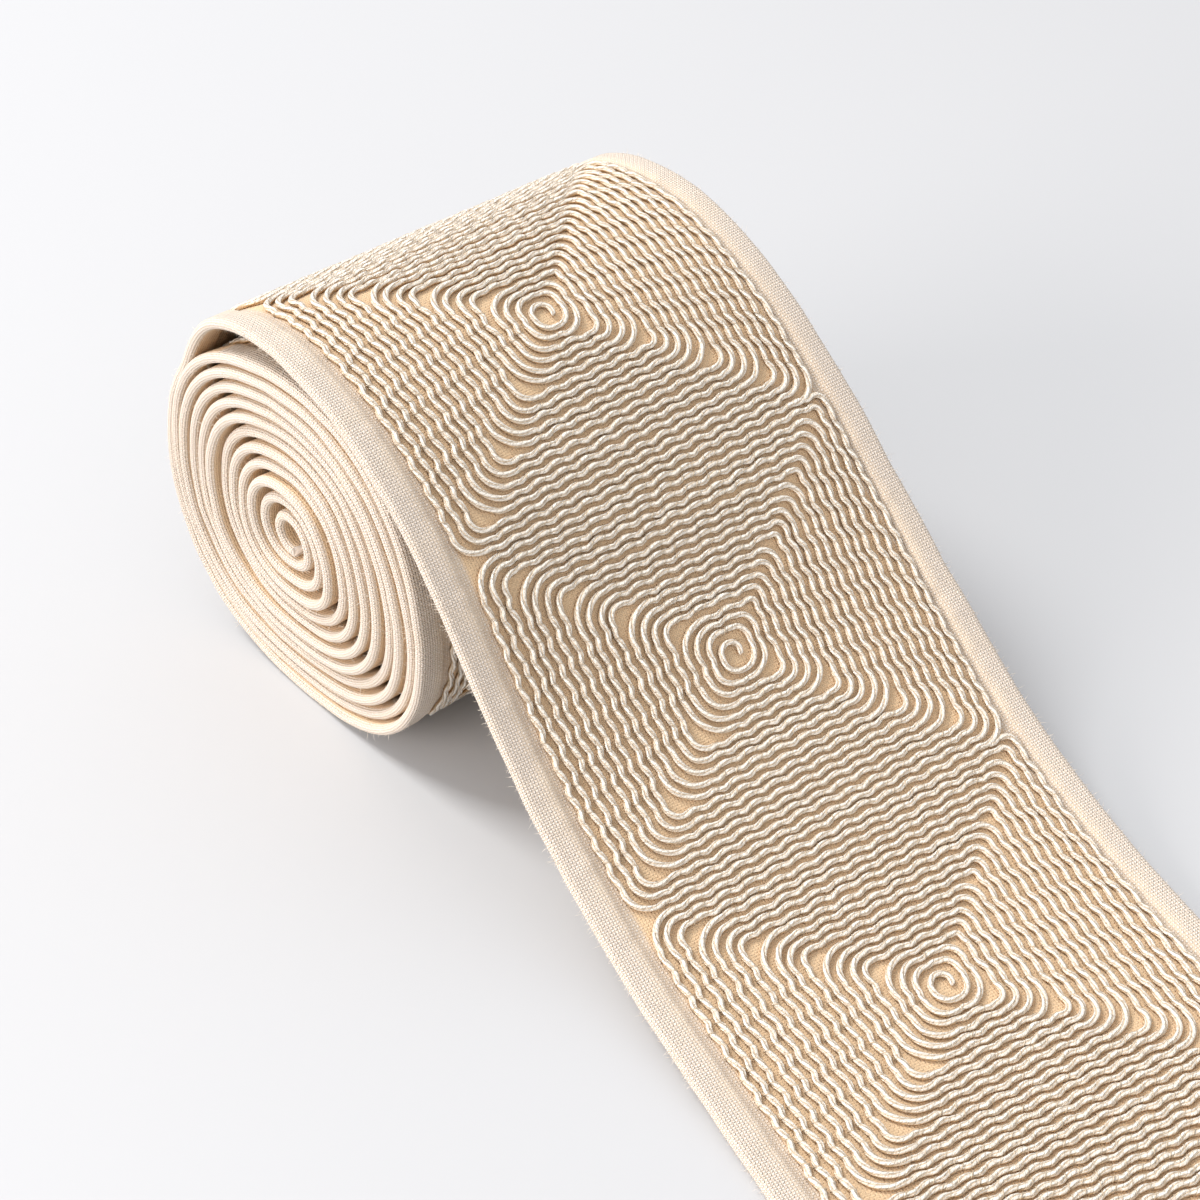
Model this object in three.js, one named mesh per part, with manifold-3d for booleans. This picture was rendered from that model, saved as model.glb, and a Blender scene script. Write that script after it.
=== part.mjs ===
// Embroidered tape trim: a wound roll and the loose end that runs off its top down to the floor.
// Millimetres, +Z up. X runs the way the loose end leaves, Y is the roll's axis, the floor is Z = 0.
// Every face that carries embroidery is mapped from flat tape: along it, across it and height above it.
import * as THREE from 'three';
import { mergeVertices } from 'three/addons/utils/BufferGeometryUtils.js';
import Module from 'manifold-3d';

const wasm = await Module();
wasm.setup();

const { clamp, degToRad, lerp, smoothstep } = THREE.MathUtils;
const fullTurn = 360;
const weldReach = 0.001;

// The tape, flat. Heights are measured from the middle of the cloth.
const tape = {
  width: 110,
  margin: 8,
  underside: -1.0,
  fieldTop: 0.5,
  hemTop: 0.8,
  cordTop: 1.9,
  endHem: 8,
};

// One embroidered square: rows of cord from its edge to its centre, alike on all four sides.
const motif = {
  length: 80.4,
  rows: 19,
  corner: 7,
  roundest: 0.8,
  edgeInset: 0.1,
  eye: 2.4,
  sidePieces: 5,
  endPieces: 2,
};

// The roll: turns about an eye, squeezed by its own weight into a shape of a few harmonics.
const roll = {
  eyeHeight: 43.4,
  eyeRadius: 4,
  meanRadius: 44.3,
  turns: 10.4,
  mappedTurns: 1.3,
  crowding: 0.9,
  firstTight: 0.75,
  liftStart: 146,
  liftEnd: 111,
  lift: 6.6,
  motifs: 3,
  notchTip: 140,
  stepDegrees: 8,
};
const sag = [
  { waves: 1, rise: 0.9, peak: -66 },
  { waves: 2, rise: 1.8, peak: 14 },
  { waves: 3, rise: 1.0, peak: -43 },
  { waves: 4, rise: 1.0, peak: -44 },
];

// The gaps between the turns, cut into both ends.
const groove = { width: 1.8, depth: 7, firstTurn: 0.15, lastTurn: 10.3, perTurn: 18, overshoot: 1 };
const eyeHole = { radius: 2.6, sides: 12 };

// The loose end's way down, by repeats of the motif from where the tape leaves the roll.
const descent = [
  { at: 0.0, pitch: 22, heading: 0, tilt: 0 },
  { at: 0.15, pitch: 4, heading: 0, tilt: 0 },
  { at: 0.4, pitch: -16.5, heading: -0.5, tilt: 0.4 },
  { at: 0.65, pitch: -32, heading: -0.8, tilt: 0.7 },
  { at: 0.9, pitch: -41, heading: -1.7, tilt: 1.1 },
  { at: 1.15, pitch: -46.5, heading: -3.5, tilt: 1.9 },
  { at: 1.4, pitch: -42.5, heading: -5.2, tilt: 2.7 },
  { at: 1.65, pitch: -36, heading: -6.8, tilt: 3.1 },
  { at: 1.9, pitch: -29, heading: -8.0, tilt: 2.2 },
  { at: 2.15, pitch: -18, heading: -9.2, tilt: 1.2 },
  { at: 2.4, pitch: -10, heading: -10.3, tilt: 0.3 },
  { at: 2.65, pitch: -4.5, heading: -12.3, tilt: 0 },
  { at: 2.9, pitch: 0, heading: -14.2, tilt: 0 },
  { at: 3.2, pitch: 0, heading: -16.5, tilt: 0 },
  { at: 4.2, pitch: 0, heading: -16.5, tilt: 0 },
];
const looseMotifs = 4;
const jointGap = 0.3;
const pathStep = 0.5;

// A curve worked out once as a list of stations, then read anywhere between them.
function readStations(stations, distance) {
  let low = 0;
  let high = stations.length - 1;
  while (high - low > 1) {
    const middle = (low + high) >> 1;
    if (stations[middle].distance <= distance) low = middle;
    else high = middle;
  }
  const a = stations[low];
  const b = stations[high];
  const share = clamp((distance - a.distance) / (b.distance - a.distance), 0, 1);
  return {
    point: a.point.clone().lerp(b.point, share),
    along: a.along.clone().lerp(b.along, share).normalize(),
    across: a.across.clone().lerp(b.across, share).normalize(),
  };
}

// The wound turns. A turn count of 0 is the top of the roll, and it grows inwards, by the left.
function turnRadius(turn) {
  const degrees = 90 + fullTurn * turn;
  let outline = roll.meanRadius;
  for (const wave of sag) outline += wave.rise * Math.cos(degToRad(wave.waves * (degrees - wave.peak)));
  const tightness = clamp(1 - (turn - roll.firstTight) / roll.turns, 0, 1) ** roll.crowding;
  const lift = roll.lift * (1 - smoothstep(degrees, roll.liftEnd, roll.liftStart));
  return roll.eyeRadius + (outline - roll.eyeRadius) * tightness + lift;
}

function turnPoint(turn, raise = 0) {
  const angle = degToRad(90 + fullTurn * turn);
  const radius = turnRadius(turn) + raise;
  const rise = radius * Math.sin(angle);
  return new THREE.Vector3(radius * Math.cos(angle), tape.width / 2, roll.eyeHeight + rise);
}

const turnAt = (degrees) => (degrees - 90) / fullTurn;
const acrossRoll = new THREE.Vector3(0, 1, 0);

function windingStations(lastTurn) {
  const stations = [];
  const stepTurn = 1 / fullTurn;
  let distance = 0;
  let previous = null;
  for (let turn = turnAt(roll.liftEnd); turn <= lastTurn; turn += stepTurn) {
    const point = turnPoint(turn);
    if (previous) distance += point.distanceTo(previous);
    const outwards = turnPoint(turn - stepTurn / 2);
    const along = outwards.sub(turnPoint(turn + stepTurn / 2)).normalize();
    stations.push({ distance, turn, point, along, across: acrossRoll });
    previous = point;
  }
  return stations;
}
const winding = windingStations(roll.mappedTurns);

// The loose end: pitch, heading and tilt added up along its length.
function looseStations() {
  const places = descent.map((row) => row.at);
  const angles = descent.flatMap((row) => [row.pitch, row.heading, row.tilt]);
  const table = new THREE.LinearInterpolant(places, angles, 3);
  const point = turnPoint(turnAt(roll.liftEnd));
  const length = motif.length * descent.at(-1).at;
  const stations = [];
  for (let distance = 0; distance <= length; distance += pathStep) {
    const [pitch, heading, tilt] = Array.from(table.evaluate(distance / motif.length)).map(degToRad);
    const level = Math.cos(pitch);
    const along = new THREE.Vector3(level * Math.cos(heading), level * Math.sin(heading), Math.sin(pitch));
    const across = new THREE.Vector3(-Math.sin(heading), Math.cos(heading), 0).applyAxisAngle(along, tilt);
    stations.push({ distance, point: point.clone(), along, across });
    point.addScaledVector(along, pathStep);
  }
  const settle = -tape.underside - stations.at(-1).point.z;
  for (const station of stations) station.point.z += settle;
  return stations;
}
const looseWay = looseStations();

// Flat tape to space. Distances run from the top of the roll: out along the loose end, or in along the turns.
function onLooseEnd(distance, side, height) {
  const { point, along, across } = readStations(looseWay, distance);
  const up = new THREE.Vector3().crossVectors(along, across);
  return point.addScaledVector(across, side - tape.width / 2).addScaledVector(up, height);
}

function onRoll(distance, side, height) {
  const { point, along, across } = readStations(winding, -distance);
  const up = new THREE.Vector3().crossVectors(along, across);
  return point.addScaledVector(across, side - tape.width / 2).addScaledVector(up, height);
}

// A closed solid collected triangle by triangle, its shared corners merged at the end.
class Faces {
  constructor() {
    this.corners = [];
  }
  triangle(a, b, c) {
    for (const corner of [a, b, c]) this.corners.push(corner.x, corner.y, corner.z);
  }
  quad(a, b, c, d) {
    this.triangle(a, b, c);
    this.triangle(a, c, d);
  }
  band(first, second) {
    for (let i = 0; i + 1 < first.length; i++) this.quad(first[i], first[i + 1], second[i + 1], second[i]);
  }
  loops(outer, inner) {
    for (let i = 0; i < outer.length; i++) {
      const next = (i + 1) % outer.length;
      this.quad(outer[i], outer[next], inner[next], inner[i]);
    }
  }
  geometry() {
    const soup = new THREE.BufferGeometry();
    soup.setAttribute('position', new THREE.Float32BufferAttribute(this.corners, 3));
    return mergeVertices(soup, weldReach);
  }
}

// One ring of a motif: a rectangle with its corners rounded, or cut square where it meets its neighbours.
function ring(halfLength, halfWidth, corner, height, squareCorner = false) {
  const points = [];
  const diagonal = squareCorner ? 1 : Math.SQRT1_2;
  const run = halfLength - corner;
  const rise = halfWidth - corner;
  const push = (along, side, level = height) => points.push({ along, side, level });
  const edgeLevel = squareCorner ? tape.hemTop : height;
  for (const turn of [1, -1]) {
    for (let i = 0; i <= motif.endPieces; i++) {
      push(turn * halfLength, turn * lerp(-rise, rise, i / motif.endPieces));
    }
    push(turn * (run + corner * diagonal), turn * (rise + corner * diagonal), edgeLevel);
    for (let i = 0; i <= motif.sidePieces; i++) {
      push(turn * lerp(run, -run, i / motif.sidePieces), turn * halfWidth, edgeLevel);
    }
    push(-turn * (run + corner * diagonal), turn * (rise + corner * diagonal), edgeLevel);
  }
  return points;
}

// The rings of one motif, from the edge of the tape to the last row of cord.
function motifRings() {
  const halfLength = motif.length / 2;
  const halfWidth = tape.width / 2 - tape.margin;
  const lengthPitch = (halfLength - motif.eye) / motif.rows;
  const widthPitch = (halfWidth - motif.eye) / motif.rows;
  const rings = [ring(halfLength, tape.width / 2, tape.margin, tape.fieldTop, true)];
  rings.push(ring(halfLength - motif.edgeInset, halfWidth + motif.edgeInset, motif.corner, tape.fieldTop));
  for (let row = 0; row < motif.rows; row++) {
    for (const [share, height] of [[0.5, tape.cordTop], [1, tape.fieldTop]]) {
      const long = halfLength - (row + share) * lengthPitch;
      const wide = halfWidth - (row + share) * widthPitch;
      rings.push(ring(long, wide, Math.min(motif.corner, motif.roundest * wide), height));
    }
  }
  return rings;
}
const rings = motifRings();

// Places along one edge of a motif, counted from its start, that its faces and its neighbours share.
function edgePlaces() {
  const run = motif.length / 2 - tape.margin;
  const inner = Array.from({ length: motif.sidePieces + 1 }, (_, i) => lerp(-run, run, i / motif.sidePieces));
  return [-motif.length / 2, ...inner, motif.length / 2].map((place) => place + motif.length / 2);
}
const places = edgePlaces();

function addMotif(faces, start, place) {
  const loops = rings.map((points) => points.map(
    ({ along, side, level }) => place(start + motif.length / 2 + along, tape.width / 2 + side, level)));
  for (let i = 0; i + 1 < loops.length; i++) faces.loops(loops[i], loops[i + 1]);
  const last = loops.at(-1);
  const centre = place(start + motif.length / 2, tape.width / 2, tape.cordTop);
  for (let i = 0; i < last.length; i++) faces.triangle(last[i], last[(i + 1) % last.length], centre);
}

// A row of points straight across the tape, with or without its raised hems.
function rowAcross(place, distance, hem, field = hem) {
  const inner = tape.margin;
  const outer = tape.width - tape.margin;
  const sides = [0, inner, ...Array.from({ length: motif.endPieces - 1 }, (_, i) =>
    lerp(inner, outer, (i + 1) / motif.endPieces)), outer, tape.width];
  return sides.map((side, i) => place(distance, side, i === 0 || i === sides.length - 1 ? hem : field));
}

const clothColour = new THREE.Color().setRGB(0.86, 0.78, 0.66, THREE.SRGBColorSpace);
function clothMesh(name, geometry) {
  geometry.computeVertexNormals();
  const material = new THREE.MeshStandardMaterial({ color: clothColour, roughness: 0.85, metalness: 0 });
  const mesh = new THREE.Mesh(geometry, material);
  mesh.name = name;
  return mesh;
}

// The loose end: four motifs, then a plain turned hem where the tape was cut.
function looseEnd() {
  const faces = new Faces();
  const distances = [];
  for (let i = 0; i < looseMotifs; i++) {
    addMotif(faces, i * motif.length, onLooseEnd);
    distances.push(...places.slice(i ? 1 : 0).map((place) => i * motif.length + place));
  }
  const tail = looseMotifs * motif.length;
  distances.push(tail + tape.endHem);
  const endRow = rowAcross(onLooseEnd, tail + tape.endHem, tape.hemTop);
  faces.band(endRow, rowAcross(onLooseEnd, tail, tape.hemTop, tape.fieldTop));
  for (const [side, flip] of [[0, false], [tape.width, true]]) {
    const top = distances.map((distance) => onLooseEnd(distance, side, tape.hemTop));
    const bottom = distances.map((distance) => onLooseEnd(distance, side, tape.underside));
    if (flip) faces.band(top, bottom);
    else faces.band(bottom, top);
  }
  const under = (distance) => rowAcross(onLooseEnd, distance, tape.underside);
  for (let i = 0; i + 1 < distances.length; i++) faces.band(under(distances[i]), under(distances[i + 1]));
  faces.band(rowAcross(onLooseEnd, 0, tape.hemTop, tape.fieldTop), under(0));
  faces.band(under(distances.at(-1)), endRow);
  return clothMesh('loose_end', faces.geometry());
}

// The roll's body: three motifs of its outer turn, the plain stretch under the loose end, and the lifted lip.
function rollBody() {
  const faces = new Faces();
  const start = -jointGap;
  const edge = [];
  for (let i = 1; i <= roll.motifs; i++) addMotif(faces, start - i * motif.length, onRoll);
  for (let i = 0; i < roll.motifs; i++) {
    const back = places.map((place) => start - i * motif.length - place);
    edge.push(...back.slice(i ? 1 : 0).map((distance) => onRoll(distance, 0, tape.hemTop)));
  }
  const outerTurn = (turn) => (_, side, height) => turnPoint(turn, height).setY(side);
  const lipTop = rowAcross(onRoll, start, tape.hemTop, tape.fieldTop);
  const motifEnd = start - roll.motifs * motif.length;
  const plainStart = winding.find((station) => station.distance >= -motifEnd).turn;
  const plainEnd = turnAt(roll.notchTip) + 1;
  const plainSteps = Math.ceil((plainEnd - plainStart) * fullTurn / roll.stepDegrees);
  let previous = rowAcross(onRoll, motifEnd, tape.hemTop, tape.fieldTop);
  const advance = (row) => {
    faces.band(previous, row);
    edge.push(row[0]);
    previous = row;
  };
  for (let i = 1; i <= plainSteps; i++) {
    const turn = lerp(plainStart, plainEnd, i / plainSteps);
    advance(rowAcross(outerTurn(turn), 0, tape.hemTop, tape.fieldTop));
  }
  const lipStart = turnAt(roll.notchTip);
  const lipSteps = Math.ceil((roll.notchTip - roll.liftEnd) / roll.stepDegrees);
  const lipEnd = winding.find((station) => station.distance >= jointGap).turn;
  for (let i = 0; i < lipSteps; i++) {
    const turn = lerp(lipStart, lipEnd, i / lipSteps);
    advance(rowAcross(outerTurn(turn), 0, tape.underside));
  }
  advance(rowAcross(onRoll, start, tape.underside));
  faces.band(previous, lipTop);
  addEnds(faces, edge);
  return faces.geometry();
}

// Both flat ends of the roll, from the outline of its near edge.
function addEnds(faces, edge) {
  const outline = edge.map((point) => new THREE.Vector2(point.x, point.z));
  const near = edge.map((point) => point.clone().setY(0));
  const far = edge.map((point) => point.clone().setY(tape.width));
  for (const triangle of THREE.ShapeUtils.triangulateShape(outline, [])) {
    const [a, b, c] = triangle;
    const turning = outline[b].clone().sub(outline[a]).cross(outline[c].clone().sub(outline[a]));
    const [p, q, r] = turning > 0 ? [a, b, c] : [a, c, b];
    faces.triangle(near[p], near[q], near[r]);
    faces.triangle(far[p], far[r], far[q]);
  }
}

// A spiral ribbon between the turns, as deep as the groove that it cuts.
function grooveSolid(low, high) {
  const faces = new Faces();
  const steps = Math.round((groove.lastTurn - groove.firstTurn) * groove.perTurn);
  const section = (i) => {
    const turn = lerp(groove.firstTurn, groove.lastTurn, i / steps);
    const shift = (turnRadius(turn + 1) - turnRadius(turn)) / 2;
    const inner = turnPoint(turn, shift - groove.width / 2);
    const outer = turnPoint(turn, shift + groove.width / 2);
    const [innerTop, outerTop] = [inner.clone(), outer.clone()].map((point) => point.setY(high));
    return [inner.setY(low), outer.setY(low), outerTop, innerTop];
  };
  for (let i = 0; i < steps; i++) faces.loops(section(i), section(i + 1));
  const [first, last] = [section(0), section(steps)];
  faces.quad(first[3], first[2], first[1], first[0]);
  faces.quad(last[0], last[1], last[2], last[3]);
  return faces.geometry();
}

function toSolid(geometry) {
  return new wasm.Manifold(new wasm.Mesh({
    numProp: 3,
    vertProperties: new Float32Array(geometry.getAttribute('position').array),
    triVerts: new Uint32Array(geometry.getIndex().array),
  }));
}

function toGeometry(solid) {
  const mesh = solid.getMesh();
  const geometry = new THREE.BufferGeometry();
  geometry.setAttribute('position', new THREE.BufferAttribute(mesh.vertProperties.slice(), mesh.numProp));
  geometry.setIndex(new THREE.BufferAttribute(mesh.triVerts.slice(), 1));
  return geometry;
}

function eyeSolid() {
  const length = tape.width + 2 * groove.overshoot;
  const hole = new THREE.CylinderGeometry(eyeHole.radius, eyeHole.radius, length, eyeHole.sides);
  hole.translate(0, tape.width / 2, roll.eyeHeight);
  hole.deleteAttribute('normal');
  hole.deleteAttribute('uv');
  return mergeVertices(hole, weldReach);
}

function woundRoll() {
  const nearGroove = grooveSolid(-groove.overshoot, groove.depth);
  const farGroove = grooveSolid(tape.width - groove.depth, tape.width + groove.overshoot);
  const cutters = [nearGroove, farGroove, eyeSolid()].map(toSolid);
  const solid = cutters.reduce((body, cutter) => body.subtract(cutter), toSolid(rollBody()));
  return clothMesh('wound_roll', toGeometry(solid.trimByPlane([0, 0, 1], 0)));
}

const group = new THREE.Group();
group.add(woundRoll(), looseEnd());

// The origin is put under the middle of the whole part.
const box = new THREE.Box3().setFromObject(group);
const middle = box.getCenter(new THREE.Vector3());
group.position.set(-middle.x, -middle.y, -box.min.z);

export default group;
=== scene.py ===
# %% [markdown]
# # An embroidered tape trim, wound into a roll
#
# The object is one long strip of woven cotton tape. Its two long edges are turned under, and satin cord
# is sewn all over its face in nested rounded squares, each square one single cord that ends in a curl.
# Most of the tape is wound up, and the loose end leaves the top of the roll and runs down to lie flat.
#
# Everything here is worked out on the flat tape first: so far along it, so far across it, so high above
# the middle of its cloth. One mapping then winds that flat world into the roll. A cord that is correct
# on the flat tape is then correct on every turn of the roll as well.

# %% Load the frame
import math
import bpy
import numpy as np
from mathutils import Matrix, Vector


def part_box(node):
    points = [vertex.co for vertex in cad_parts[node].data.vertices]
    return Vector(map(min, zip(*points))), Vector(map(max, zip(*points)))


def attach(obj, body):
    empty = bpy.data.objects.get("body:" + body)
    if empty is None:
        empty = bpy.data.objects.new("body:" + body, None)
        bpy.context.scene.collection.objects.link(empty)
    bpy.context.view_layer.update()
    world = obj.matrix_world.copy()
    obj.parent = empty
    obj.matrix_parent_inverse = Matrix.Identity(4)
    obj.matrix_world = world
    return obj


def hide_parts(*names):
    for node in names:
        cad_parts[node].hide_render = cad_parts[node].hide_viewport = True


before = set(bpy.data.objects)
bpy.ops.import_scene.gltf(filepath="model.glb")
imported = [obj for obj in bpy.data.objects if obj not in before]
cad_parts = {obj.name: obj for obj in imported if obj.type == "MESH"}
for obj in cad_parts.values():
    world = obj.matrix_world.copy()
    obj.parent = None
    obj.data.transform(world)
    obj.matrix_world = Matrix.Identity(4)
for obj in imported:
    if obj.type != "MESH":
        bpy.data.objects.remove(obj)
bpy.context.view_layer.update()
MM = 0.001
roll_low, roll_high = (np.array(corner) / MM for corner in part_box("wound_roll"))
print("roll solid from", roll_low.round(1), "to", roll_high.round(1), "mm")

# %% [markdown]
# ## The tape's own sizes
#
# These are the sizes that a weaver would write down, in millimetres. The hem is the doubled edge: the
# cloth is turned under by almost the whole margin, so the margin is thicker than the field between.

# %% Sizes of the flat tape
TAPE_WIDTH = 110.0
MARGIN = 8.0
HEM_TOP = 1.45
HEM_UNDER = -1.0
FIELD_TOP = 0.4
FIELD_UNDER = -0.5
REPEAT = 80.4
LOOSE_SQUARES = 4
ROLL_SQUARES = 4
END_HEM = 8.0
print("one square is", REPEAT, "mm long on a tape", TAPE_WIDTH, "mm wide")

# %% [markdown]
# ## The way the tape is wound
#
# A roll of tape is a spiral, but never a perfect one: it sags under its own weight, and near the place
# where the loose end leaves it the outer turn lifts away from the next. The spiral's radius is written
# as one formula of the turn number. Turn 0 is the top of the roll and the count grows inwards. The
# cosines of the sag are rounded from a least-squares reading of 24 radii of the roll's near end.
#
# The formula has one fault. From 0.13 to 0.50 of a turn it leaves less room than a hem is thick, so the
# outer turn cuts into the next one there, by 1.1 mm at most. Later turns are clear of each other.

# %% The spiral of the roll
EYE_HEIGHT = 43.4
EYE_RADIUS = 4.0
MEAN_RADIUS = 44.3
SPIRAL_TURNS = 10.4
CROWDING = 0.9
FIRST_TIGHT = 0.75
LIFT = 6.6
LIFT_START, LIFT_END = 146.0, 111.0
SAG = ((1, 0.9, -66), (2, 1.8, 14), (3, 1.0, -43), (4, 1.0, -44))
LAST_TURN = 11.53


def smooth_between(low, high, value):
    """0 below low, 1 above high, and the S curve 3t^2 - 2t^3 between."""
    t = np.clip((value - low) / (high - low), 0, 1)
    return t * t * (3 - 2 * t)


def turn_radius(turn):
    """The sagged outline (mean radius plus a few cosines), shrunk to the eye by a power of the turns
    that are left, plus the lift of the first few degrees."""
    degrees = 90 + 360 * turn
    outline = MEAN_RADIUS + sum(
        rise * np.cos(np.radians(waves * (degrees - peak))) for waves, rise, peak in SAG)
    tightness = np.clip(1 - (turn - FIRST_TIGHT) / SPIRAL_TURNS, 0, 1) ** CROWDING
    lifted = LIFT * (1 - smooth_between(LIFT_END, LIFT_START, degrees))
    return EYE_RADIUS + (outline - EYE_RADIUS) * tightness + lifted


def turn_points(turn):
    """Polar to plain coordinates, about the eye of the roll. Columns are x, y and z."""
    angle = np.radians(90 + 360 * turn)
    radius = turn_radius(turn)
    return np.stack([radius * np.cos(angle), np.full_like(turn, TAPE_WIDTH / 2),
                     EYE_HEIGHT + radius * np.sin(angle)], -1)


def unit(vectors):
    """Each vector divided by its own length."""
    return vectors / np.linalg.norm(vectors, axis=-1, keepdims=True)


joint_turn = (LIFT_END - 90) / 360
turns = np.arange(LAST_TURN, joint_turn, -1 / 720)
turns = np.append(turns, joint_turn)
roll_points = turn_points(turns)
roll_steps = np.linalg.norm(np.diff(roll_points, axis=0), axis=1)
roll_distance = np.concatenate([[0], np.cumsum(roll_steps)])
roll_distance -= roll_distance[-1]
roll_along = unit(np.gradient(roll_points, axis=0))
roll_across = np.tile([0.0, 1.0, 0.0], (len(turns), 1))
print("wound length", round(-roll_distance[0]), "mm in", round(LAST_TURN, 1), "turns")

# %% [markdown]
# ## The way the loose end runs down
#
# From the lip the tape falls over the front of the roll, down a slope, and flattens out on the table.
# It also turns slowly to one side and twists a little, as a real ribbon does. The table gives the pitch,
# the heading and the twist at a few places, counted in squares, and the path is those angles added up.
# Most of these angles are a camera fit's answers, rounded, and not sizes that a maker chose.

# %% The loose end's path
DESCENT = np.array([
    # squares, pitch, heading, tilt
    (0.0, 22, 0, 0), (0.15, 4, 0, 0), (0.4, -16.5, -0.5, 0.4), (0.65, -32, -0.8, 0.7),
    (0.9, -41, -1.7, 1.1), (1.15, -46.5, -3.5, 1.9), (1.4, -42.5, -5.2, 2.7), (1.65, -36, -6.8, 3.1),
    (1.9, -29, -8.0, 2.2), (2.15, -18, -9.2, 1.2), (2.4, -10, -10.3, 0.3), (2.65, -4.5, -12.3, 0),
    (2.9, 0, -14.2, 0), (3.2, 0, -16.5, 0), (4.2, 0, -16.5, 0)])
PATH_STEP = 0.5
loose_length = LOOSE_SQUARES * REPEAT + END_HEM
loose_distance = np.arange(0, loose_length + 2 * PATH_STEP, PATH_STEP)
pitch, heading, tilt = (
    np.radians(np.interp(loose_distance / REPEAT, DESCENT[:, 0], DESCENT[:, column]))
    for column in (1, 2, 3))
loose_along = np.stack([np.cos(pitch) * np.cos(heading), np.cos(pitch) * np.sin(heading),
                        np.sin(pitch)], -1)
level = np.stack([-np.sin(heading), np.cos(heading), np.zeros_like(heading)], -1)
loose_across = (level * np.cos(tilt)[:, None]
                + np.cross(loose_along, level) * np.sin(tilt)[:, None])
loose_points = roll_points[-1] + np.concatenate(
    [np.zeros((1, 3)), np.cumsum(loose_along[:-1] * PATH_STEP, axis=0)])

# %% [markdown]
# ## One mapping for everything
#
# The two paths are joined at the lip. `on_tape` reads the joined path: it takes a place on the flat tape
# and gives the place in space, in the frame's own millimetres. The joint is eased over the last part of
# the roll so that no kink shows, and each turn is pushed sideways by a fraction of a millimetre, because
# nobody winds a tape perfectly flush.

# %% Flat tape to space
EASE_LENGTH = 60.0
settle = -HEM_UNDER - loose_points[-1, 2]
loose_points[:, 2] += settle
roll_points[:, 2] += settle * np.clip(1 + roll_distance / EASE_LENGTH, 0, 1)
way = np.concatenate([roll_distance[:-1], loose_distance])
middle_line = np.concatenate([roll_points[:-1], loose_points])
along = np.concatenate([roll_along[:-1], loose_along])
across = np.concatenate([roll_across[:-1], loose_across])
# The rows of the CAD roll stand this high, and the tape is placed against that roll's left side.
CORD_TOP = 1.9
DRIFT = ((0.45, 37.0, 1.0), (0.35, 83.0, 0.0), (0.2, 19.0, 0.0))
FLUSH_FROM, FLUSH_TO = -120, -20
outline_left = turn_points(np.linspace(0.1, 0.4, 301))[:, 0].min() - CORD_TOP
frame_shift = np.array([roll_low[0] - outline_left, roll_low[1], 0.0])
drift = sum(size * np.sin(way / length + start) for size, length, start in DRIFT)
middle_line[:, 1] += drift * (1 - smooth_between(FLUSH_FROM, FLUSH_TO, way))


def read_path(table, distance):
    """The table's three columns, read in a straight line between the path's points."""
    return np.stack([np.interp(distance, way, table[:, i]) for i in range(3)], -1)


def on_tape(distance, side, height):
    """Point = middle line + (side - half width) x across + height x up, with up = along x across.
    Nothing goes below the table: where the roll rests, its cords are pressed flat."""
    distance, side, height = np.broadcast_arrays(distance, side, height)
    forward = unit(read_path(along, distance))
    sideways = unit(read_path(across, distance))
    upward = np.cross(forward, sideways)
    points = (read_path(middle_line, distance) + frame_shift
              + sideways * (side - TAPE_WIDTH / 2)[..., None] + upward * height[..., None])
    points[..., 2] = np.maximum(points[..., 2], 0.0)
    return points


print("the lip is at", on_tape(0.0, 0.0, 0.0).round(1), "and the tape ends at",
      on_tape(loose_length, TAPE_WIDTH / 2, 0.0).round(1))

# %% [markdown]
# ## Building a mesh from a grid
#
# Every piece is a grid of points, rows by columns. The faces join each point to its neighbours, and each
# row closes on itself, as the skin of a tube does. The two flat coordinates are kept as a UV map in
# centimetres, so that weave and thread follow the cloth wherever it bends.

# %% Grid helper
UV_SCALE = 0.1


def grid_faces(rows, columns):
    """Quads between neighbouring points, with the last column joined to the first."""
    left = np.arange(rows * columns).reshape(rows, columns)
    right = np.roll(left, -1, axis=1)
    return np.stack([left[:-1], right[:-1], right[1:], left[1:]], -1).reshape(-1, 4)


def grid_uv(lengthwise, crosswise):
    """The two flat coordinates at each quad's four corners, in the same order as the quads."""
    low, high = lengthwise[:-1, None], lengthwise[1:, None]
    left, right = crosswise[None, :-1], crosswise[None, 1:]
    corners = [(low, left), (low, right), (high, right), (high, left)]
    pairs = [np.stack(np.broadcast_arrays(*corner), -1) for corner in corners]
    return np.stack(pairs, 2).reshape(-1, 2)


def make_piece(name, grid, lengthwise, crosswise, material, inset_and_painted_shade=None):
    """A grid of points in millimetres becomes one smooth-shaded object with UVs, closed at both ends
    and riding on the part's only body. The last argument is a number for each point, kept as an attribute
    that the cloth's material reads: how far a place lies inside the field or a gap, which softens the weave
    and sets how much painted shade the cloth gets."""
    rows, columns = grid.shape[:2]
    first, last = range(columns), range((rows - 1) * columns, rows * columns)
    faces = grid_faces(rows, columns).tolist() + [list(reversed(first)), list(last)]
    uv = np.concatenate([grid_uv(lengthwise, crosswise), np.zeros((2 * columns, 2))])
    return make_mesh(name, grid, faces, uv, material, inset_and_painted_shade)


def make_mesh(name, points, faces, uv, material, inset_and_painted_shade=None):
    """Points in millimetres, faces as lists of point numbers, and a flat coordinate for each corner."""
    mesh = bpy.data.meshes.new(name)
    mesh.from_pydata((points.reshape(-1, 3) * MM).tolist(), [], faces)
    mesh.uv_layers.new(name="flat").data.foreach_set("uv", (uv * UV_SCALE).ravel())
    mesh.polygons.foreach_set("use_smooth", np.ones(len(mesh.polygons), bool))
    if inset_and_painted_shade is not None:
        mesh.attributes.new("inset_and_painted_shade", "FLOAT", "POINT").data.foreach_set("value", inset_and_painted_shade.ravel())
    mesh.materials.append(material)
    mesh.update()
    piece = bpy.data.objects.new(name, mesh)
    bpy.context.scene.collection.objects.link(piece)
    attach(piece, "root")
    mesh.calc_loop_triangles()
    print(name, len(mesh.loop_triangles), "triangles")
    return piece


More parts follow.
